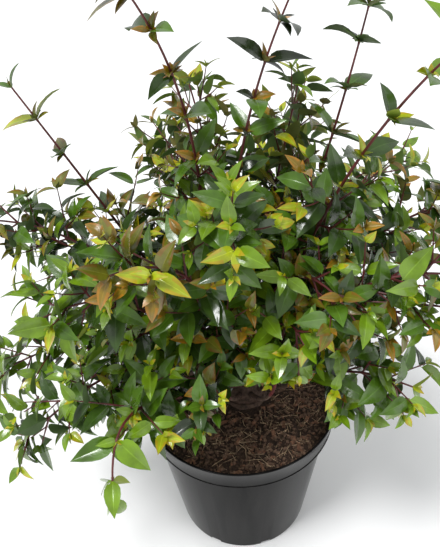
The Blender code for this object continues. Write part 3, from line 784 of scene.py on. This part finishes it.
def grow_at_node(space, shoot, number, side, outer, chance):
    """One leaf of a node's pair, with a tuft in its axil where the node has tufts."""
    distance = shoot.nodes[number]
    root, ahead = shoot.route.at(distance)
    rank = len(shoot.nodes) - 1 - number
    tufted = distance in shoot.tufts
    whole = LEAF_LENGTH * (BIG_LEAF if shoot.limb.name in BIG_LEAVED else 1.0)
    share = SIDE_LEAF_SHARES[min(rank, 2)] if shoot.order == 2 else 1.0
    sizes = TUFT_NODE_LEAVES if tufted else ORDER_LEAVES[shoot.order]
    length = whole * share * chance.uniform(*sizes)
    made = []
    if tufted:
        bud = leaning(ahead, side, chance.uniform(*BUD_ANGLES))
        made += grow_tuft(space, shoot, root, bud, whole * chance.uniform(*BUD_LEAVES), chance)
    leaf = place_leaf(space, shoot.limb, root, ahead, side, length, LEAF_ANGLES, LEAF_SAG, chance)
    if leaf:
        lower = shoot.order == 1 and shoot.limb.name in LIFTED and root.z < LIFTED_FROM
        mood = MOODS["bright"] if lower else shoot.mood
        leaf.tint = tint_of(shoot, mood, rank, outer, chance)
        made.append(leaf)
        shoot.leaves += 1
    return made


def tint_of(shoot, mood, rank, outer, chance):
    """Leaves are older, and so darker, on thicker shoots, back from the tip and deep inside."""
    youth = ORDER_YOUTH[shoot.order] - NODE_YOUTH * rank
    youth += (outer - OUTER_FROM) * OUTER_YOUTH + chance.uniform(-YOUTH_SWAY, YOUTH_SWAY)
    if shoot.order == 1 and rank < 2:
        youth += TIP_YOUTH
    # where the mood is dark or shade, the oldest step is deep, which is painted shade
    return mood[min(max(int(youth), 0), 2)]


def grow_tip(space, shoot, chance):
    root, ahead = shoot.route.at(shoot.end - TIP_BACK)
    length = LEAF_LENGTH * TIP_SHARES[shoot.order] * chance.uniform(*TIP_RANGE)
    return grow_tuft(space, shoot, root, ahead, length, chance)


def grow_tuft(space, shoot, root, ahead, length, chance):
    """A pair of young leaves and two very small ones between them."""
    made = []
    side = ahead.cross(TUFT_START).normalized()
    if chance.random() < 0.5:
        side = side.cross(ahead)
    for way in (side, -side):
        leaf = place_leaf(space, shoot.limb, root, ahead, way, length, TUFT_ANGLES, TUFT_SAG, chance)
        if leaf:
            share = TUFTED_SHARE if shoot.limb.name in TUFTED else YOUNG_SHARE
            leaf.tint = shoot.mood[3 if chance.random() < share else 2]
            made.append(leaf)
            shoot.leaves += 1
    cross = side.cross(ahead)
    for way in (cross, -cross):
        along = leaning(ahead, way, chance.uniform(*SMALL_ANGLES))
        face = lit_face(root, ahead, along, chance)
        leaf = Leaf(root, along, face, length * chance.uniform(*SMALL_LEAVES), chance, small=True)
        leaf.tint = shoot.mood[3]
        made.append(leaf)
    return made


# Meshes of the crown

def leaf_mesh(name, leaves, materials, blushed):
    """All leaves of one tint in one mesh."""
    points, faces, slots = [], [], []
    for leaf in leaves:
        stations, columns = (SMALL_STATIONS, SMALL_COLUMNS) if leaf.small else (STATIONS, COLUMNS)
        offset = len(points)
        points += leaf_points(leaf, stations, columns)
        quads, marks = leaf_faces(len(stations), len(columns), leaf.small, blushed)
        faces += [tuple(k + offset for k in quad) for quad in quads]
        slots += marks
    return mesh_piece(name, points, faces, materials, LEAF_SHARP, slots)


def leaf_points(leaf, stations, columns):
    """Points of a leaf: at each station the upper side's columns, then the keel below."""
    points = []
    for t in stations:
        middle, face, across = leaf.frame_at(t)
        half = max(leaf.width / 2 * blade_width(t), STALK_HALF if t < 0.5 else POINT_HALF)
        for u in columns:
            rise = half * (leaf.fold * abs(u) - leaf.curl * u * u)
            if abs(u) <= RIB_SHARE:
                rise -= RIB_SINK * half
            points.append(middle + across * (half * u) + face * rise)
        points.append(middle - face * min(LEAF_THICKNESS, half * KEEL_SHARE))
    return points


@cache
def leaf_faces(stations, columns, small, blushed):
    """Faces of one leaf and their material slots."""
    each = columns + 1
    quads, slots = [], []
    for i in range(stations - 1):
        stalk = i == 0
        at_tip = i >= stations - 2 and (small or blushed)
        for j in range(columns - 1):
            a = i * each + j
            quads.append((a, a + 1, a + 1 + each, a + each))
            middle = not small and j == (columns - 1) // 2
            edge = not small and blushed and j in (0, columns - 2) and i >= BLUSH_FROM
            slots.append(RIB if stalk or middle else YOUNG if at_tip or edge else UPPER)
        left, right, keel = i * each, i * each + columns - 1, i * each + columns
        quads += [(keel, left, left + each, keel + each), (right, keel, keel + each, right + each)]
        slots += [RIB, RIB] if stalk else [UNDER, UNDER]
    return quads, slots


def shoot_tube(shoot):
    """Tube with a slight swelling at each node."""
    marks = set(even_marks(shoot.start, shoot.end, TUBE_STEP))
    for node in shoot.nodes:
        marks |= {node - SWELL_BEFORE, node, node + SWELL_AFTER}
    marks = sorted(mark for mark in marks if shoot.start <= mark <= shoot.end)

    def radius_at(mark):
        near = min((abs(mark - node) for node in shoot.nodes), default=1.0)
        return shoot.radius_at(mark) * (1 + SWELL * math.exp(-(near / SWELL_REACH) ** 2))

    return tube(shoot.route, marks, radius_at, LEAD_SIDES if shoot.order == 1 else TWIG_SIDES)


def make_crown(limbs):
    space = Space()
    shoots = grow_skeleton(space, limbs)
    leaves = grow_leaves(space, shoots)
    masses = ["foliage_" + limb.name for limb in limbs]
    for tint, (colour, young) in LEAF_COLOURS.items():
        under = [(1 - PALE_SHARE) * c + PALE_SHARE * pale for c, pale in zip(colour, PALE_UNDERSIDE)]
        materials = [leaf_material("leaf " + tint, colour),
                     grained_material("underside " + tint, under, "underside"),
                     leaf_material("midrib " + tint, [RIB_GAIN * c + RIB_PALER for c in colour]),
                     leaf_material("young tip " + tint, young)]
        group = [leaf for leaf in leaves if leaf.tint == tint]
        piece = leaf_mesh("leaves_" + tint, group, materials, tint in BLUSHED)
        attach(piece, "root")
        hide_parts(*masses)
        LEAF_SLOTS[tint]
    twigs = [shoot_tube(shoot) for shoot in shoots if shoot.leaves or shoot.order == 1]
    piece = join_shapes("twigs", twigs, grained_material("young stem", STEM, "stem"))
    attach(piece, "root")
    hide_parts(*masses)


def make_boughs(limbs):
    def relief(mark, angle):
        place = Vector((math.cos(angle) * BARK_TURNS, math.sin(angle) * BARK_TURNS, mark * BARK_RISE))
        return BARK_RELIEF * noise.noise(place)

    shapes = [tube(limb.route, even_marks(0.0, limb.fork, BOUGH_STEP), limb.radius, BOUGH_SIDES, relief)
              for limb in limbs]
    piece = join_shapes("boughs", shapes, grained_material("bough bark", WOOD, "bark"))
    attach(piece, "root")
    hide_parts(*["bough_" + limb.name for limb in limbs])


# Foot, peat and pot

def arc(centre, radius, start, end, steps):
    """Points of an arc in an outline's plane, between two angles in degrees."""
    turns = [math.radians(start + (end - start) * k / steps) for k in range(steps + 1)]
    return [(centre[0] + radius * math.cos(t), centre[1] + radius * math.sin(t)) for t in turns]


def turned(outline, segments):
    """Points and faces of (radius, height) points turned round the upright axis, from below."""
    points, faces, rings = [], [], []
    for radius, height in outline:
        count = segments if radius > 0 else 1
        rings.append(range(len(points), len(points) + count))
        for s in range(count):
            turn = math.tau * s / segments
            points.append(Vector((radius * math.cos(turn), radius * math.sin(turn), height)))
    for low, high in zip(rings, rings[1:]):
        for s in range(segments):
            after = (s + 1) % segments
            corners = (low[s % len(low)], low[after % len(low)],
                       high[after % len(high)], high[s % len(high)])
            faces.append(tuple(dict.fromkeys(corners)))
    return points, faces


def make_foot():
    """Flared woody foot under the dome that carries the boughs."""
    outline = [(0, 0), (FOOT_FLARE, 0)]
    outline += [(FOOT_FLARE - FLARE_IN * share, DOME_HEIGHT * FLARE_RISE * share)
                for share in (0.25, 0.5, 0.75)]
    outline += arc((0, DOME_HEIGHT), DOME_RADIUS, *DOME_ARC, DOME_STEPS)
    outline += [(0, DOME_HEIGHT + DOME_RADIUS)]
    points, faces = turned(outline, FOOT_SEGMENTS)
    for point in points:
        turn = math.atan2(point.y, point.x)
        ridges = noise.noise(Vector((math.cos(turn) * FURROW_TURNS, math.sin(turn) * FURROW_TURNS,
                                     point.z * FURROW_RISE)))
        lobes = FLARE_DEPTH * max(0.0, 1 - point.z / DOME_HEIGHT) * (1 - math.cos(FLARE_LOBES * turn)) / 2
        inward = 1 - FURROW_DEPTH * (1 + ridges) - lobes / FOOT_FLARE
        point.x, point.y = point.x * inward, point.y * inward
    shift = Vector((*FOOT_PLACE, SOIL_TOP + GAP))
    shape = ([point + shift for point in points], faces)
    piece = join_shapes("foot", [shape], grained_material("foot bark", WOOD, "bark"))
    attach(piece, "root")
    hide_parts("trunk")


def from_foot(x, y):
    return math.hypot(x - FOOT_PLACE[0], y - FOOT_PLACE[1])


def soil_height(x, y):
    """Height of the peat: level round the foot, uneven elsewhere, lower at the pot's wall."""
    reach = math.hypot(x, y)
    fall = SOIL_FALL * max(0.0, reach - SOIL_FLAT) / (SOIL_RADIUS - SOIL_FLAT)
    rough = min(max((from_foot(x, y) - SMOOTH_FROM) / SMOOTH_RUN, 0.0), 1.0)
    uneven = sum(height * noise.noise(Vector((x, y, slice_at)) * grain)
                 for height, grain, slice_at in SOIL_SWELLS)
    return SOIL_TOP - fall + rough * uneven


def scatter(chance, count, margin):
    """Random places on the peat outside the foot."""
    edge = SOIL_RADIUS - margin
    places = []
    while len(places) < count:
        x, y = chance.uniform(-edge, edge), chance.uniform(-edge, edge)
        if math.hypot(x, y) < edge and from_foot(x, y) > FOOT_FLARE + FOOT_SPACE:
            places.append((x, y))
    return places


def on_peat(x, y, lift):
    return Vector((x, y, soil_height(x, y) + lift))


def lump(place, size, shares, chance):
    """Small uneven block with its own turn; its half sizes are shares of one size."""
    corners = [Vector((a, b, c)) for c in (-1, 1) for a, b in ((-1, -1), (1, -1), (1, 1), (-1, 1))]
    spin = Matrix.Rotation(chance.uniform(0, math.tau), 3, "Z")
    spin = spin @ Matrix.Rotation(chance.uniform(-LUMP_TILT, LUMP_TILT), 3, "X")
    points = []
    for corner in corners:
        uneven = [value * (size * share) * chance.uniform(*LUMP_RANGE)
                  for value, share in zip(corner, shares)]
        points.append(place + spin @ Vector(uneven))
    faces = [(3, 2, 1, 0), (4, 5, 6, 7), (0, 1, 5, 4), (1, 2, 6, 5), (2, 3, 7, 6), (3, 0, 4, 7)]
    return points, faces


def fibre(place, length, chance):
    """Short bent straw that lies on the peat."""
    turn = chance.uniform(0, math.tau)
    along = Vector((math.cos(turn), math.sin(turn), chance.uniform(*STRAW_CLIMB)))
    bend = Vector((-along.y, along.x, 0.25)) * chance.uniform(-STRAW_BEND, STRAW_BEND) * length
    start = place - along * length / 2
    route = Route(start, start + along * length / 3 + bend, start + along * length * 2 / 3 + bend,
                  start + along * length, 8)
    thick = chance.uniform(*STRAW_RADII)
    return tube(route, even_marks(0.0, route.length, length / 5), lambda mark: thick, 4)


def peat_bed():
    """Points and faces of the peat that fills the pot."""
    outline = [(0, FLOOR_TOP + SOIL_SEAT), (BASE_RADIUS - WALL - SOIL_SEAT, FLOOR_TOP + SOIL_SEAT),
               (WALL_TOP_RADIUS - WALL - SOIL_SEAT, LIP_FOOT + WALL + SOIL_SEAT),
               (LIP_FOOT_RADIUS - WALL - SOIL_SEAT, LIP_FOOT + WALL + LIP_STEP + SOIL_SEAT)]
    outline += [(SOIL_RADIUS * (1 - k / SOIL_RINGS), SOIL_TOP) for k in range(SOIL_RINGS + 1)]
    points, faces = turned(outline, SOIL_SEGMENTS)
    for point in points:
        if point.z > SOIL_TOP - 0.001:
            point.z = soil_height(point.x, point.y)
    return points, faces


def make_soil():
    """Uneven peat with crumbs, bark bits and straw on it."""
    chance = random.Random(SEED + 2)
    crumbs, bits, straws = [], [], []
    for x, y in scatter(chance, CRUMBS, CRUMB_MARGIN):
        size = chance.choice(CRUMB_SIZES)
        crumbs.append(lump(on_peat(x, y, size / 2), size, CRUMB_SHARES, chance))
    for x, y in scatter(chance, BITS, BIT_MARGIN):
        size = chance.choice(BIT_SIZES)
        bits.append(lump(on_peat(x, y, BIT_LIFT), size, BIT_SHARES, chance))
    for x, y in scatter(chance, STRAWS, STRAW_MARGIN):
        length = chance.uniform(*STRAW_LENGTHS)
        straws.append(fibre(on_peat(x, y, STRAW_LIFT), length, chance))
    pieces = [join_shapes("peat", [peat_bed()], grained_material("peat soil", PEAT, "peat"), PEAT_SHARP)]
    for name, shapes, colour in (("peat_crumbs", crumbs, CRUMB), ("bark_bits", bits, BARK_BIT),
                                 ("straw", straws, STRAW)):
        made = grained_material(name.replace("_", " "), colour, "strewn")
        pieces.append(join_shapes(name, shapes, made, STREWN_SHARP))
    for piece in pieces:
        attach(piece, "root")
        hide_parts("soil")


def drain_cutter():
    """Blocks in a ring that open the corner between the pot's wall and its base."""
    bm = bmesh.new()
    for place in range(DRAINS):
        made = bmesh.ops.create_cube(bm, size=1.0)["verts"]
        bmesh.ops.scale(bm, verts=made, vec=(DRAIN_DEPTH, DRAIN_WIDTH, DRAIN_HEIGHT * 2))
        bmesh.ops.translate(bm, verts=made, vec=(BASE_RADIUS, 0, 0))
        turn = math.tau * (place + DRAIN_TURN) / DRAINS
        bmesh.ops.rotate(bm, verts=made, cent=(0, 0, 0), matrix=Matrix.Rotation(turn, 3, "Z"))
    mesh = bpy.data.meshes.new("drain cutter")
    bm.to_mesh(mesh)
    bm.free()
    return placed("drain cutter", mesh)


def make_pot():
    """Turned pot: a ridge under the lip band, a thin rolled rim and drain slots at the base."""
    outline = [(0, 0)] + arc((BASE_RADIUS - BASE_ROUND, BASE_ROUND), BASE_ROUND, -90, 0, 4)
    outline += [(WALL_TOP_RADIUS, LIP_FOOT - RIDGE)]
    outline += arc((LIP_FOOT_RADIUS - RIDGE, LIP_FOOT), RIDGE, -90, 80, 6)
    outline += arc((RIM_RADIUS - BEAD, POT_HEIGHT - BEAD), BEAD, -40, 200, 10)
    outline += [(LIP_FOOT_RADIUS - WALL, LIP_FOOT + WALL + LIP_STEP),
                (WALL_TOP_RADIUS - WALL, LIP_FOOT + WALL),
                (BASE_RADIUS - WALL, FLOOR_TOP), (0, FLOOR_TOP)]
    # the upright lighter and darker bands in the pot's colour are painted reflection
    reflection_banded_plastic = grained_material("black plastic", PLASTIC, "reflection_banded_plastic", UPRIGHT_REFLECTION_AND_RIPPLE_BANDS,
                               Specular_IOR_Level=0.06)
    whole = join_shapes("pot whole", [turned(outline, POT_SEGMENTS)], reflection_banded_plastic)
    cutter = drain_cutter()
    cut = whole.modifiers.new("drains", "BOOLEAN")
    cut.operation, cut.object = "DIFFERENCE", cutter
    seen = whole.evaluated_get(bpy.context.evaluated_depsgraph_get())
    piece = placed("pot_fine", smoothed(bpy.data.meshes.new_from_object(seen), POT_SHARP))
    for spent in (whole, cutter):
        bpy.data.objects.remove(spent)
    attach(piece, "root")
    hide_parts("pot")


# Stage

def make_floor():
    corners = [(x * FLOOR_HALF, y * FLOOR_HALF, 0) for x, y in ((-1, -1), (1, -1), (1, 1), (-1, 1))]
    mesh = bpy.data.meshes.new("floor")
    mesh.from_pydata(corners, [], [(0, 1, 2, 3)])
    mesh.materials.append(plain_material("floor", FLOOR_WHITE, 0.8))
    floor = placed("floor", mesh)


def make_light():
    world = bpy.data.worlds.new("studio")
    world.use_nodes = True
    background = world.node_tree.nodes["Background"]
    background.inputs["Color"].default_value = STUDIO_WHITE
    background.inputs["Strength"].default_value = STUDIO_STRENGTH
    bpy.context.scene.world = world
    for name, (place, width, strength) in SUNS.items():
        lamp = bpy.data.lights.new(name, "SUN")
        lamp.angle, lamp.energy = math.radians(width), strength
        holder = placed(name, lamp)
        holder.location = place
        holder.rotation_euler = (-Vector(place)).to_track_quat("-Z", "Y").to_euler()


def make_camera():
    down, roll = math.radians(CAMERA_DOWN), math.radians(CAMERA_ROLL)
    forward = Vector((0, math.cos(down), -math.sin(down)))
    right = Vector((1, 0, 0))
    up = right.cross(forward)
    turned_right = right * math.cos(roll) + up * math.sin(roll)
    turned_up = up * math.cos(roll) - right * math.sin(roll)
    lens = bpy.data.cameras.new("camera")
    lens.sensor_fit, lens.sensor_width = "HORIZONTAL", SENSOR_WIDTH
    lens.lens = FOCAL_PIXELS * SENSOR_WIDTH / PHOTO_WIDTH
    lens.clip_start = CLIP_START
    holder = placed("camera", lens)
    axes = Matrix((turned_right, turned_up, -forward)).transposed()
    holder.matrix_world = Matrix.Translation(CAMERA_PLACE) @ axes.to_4x4()
    bpy.context.scene.camera = holder


make_camera()
make_floor()
make_light()
make_pot()
make_soil()
make_foot()
plant = all_limbs()
make_boughs(plant)
make_crown(plant)
bpy.context.scene.view_settings.view_transform = "Standard"
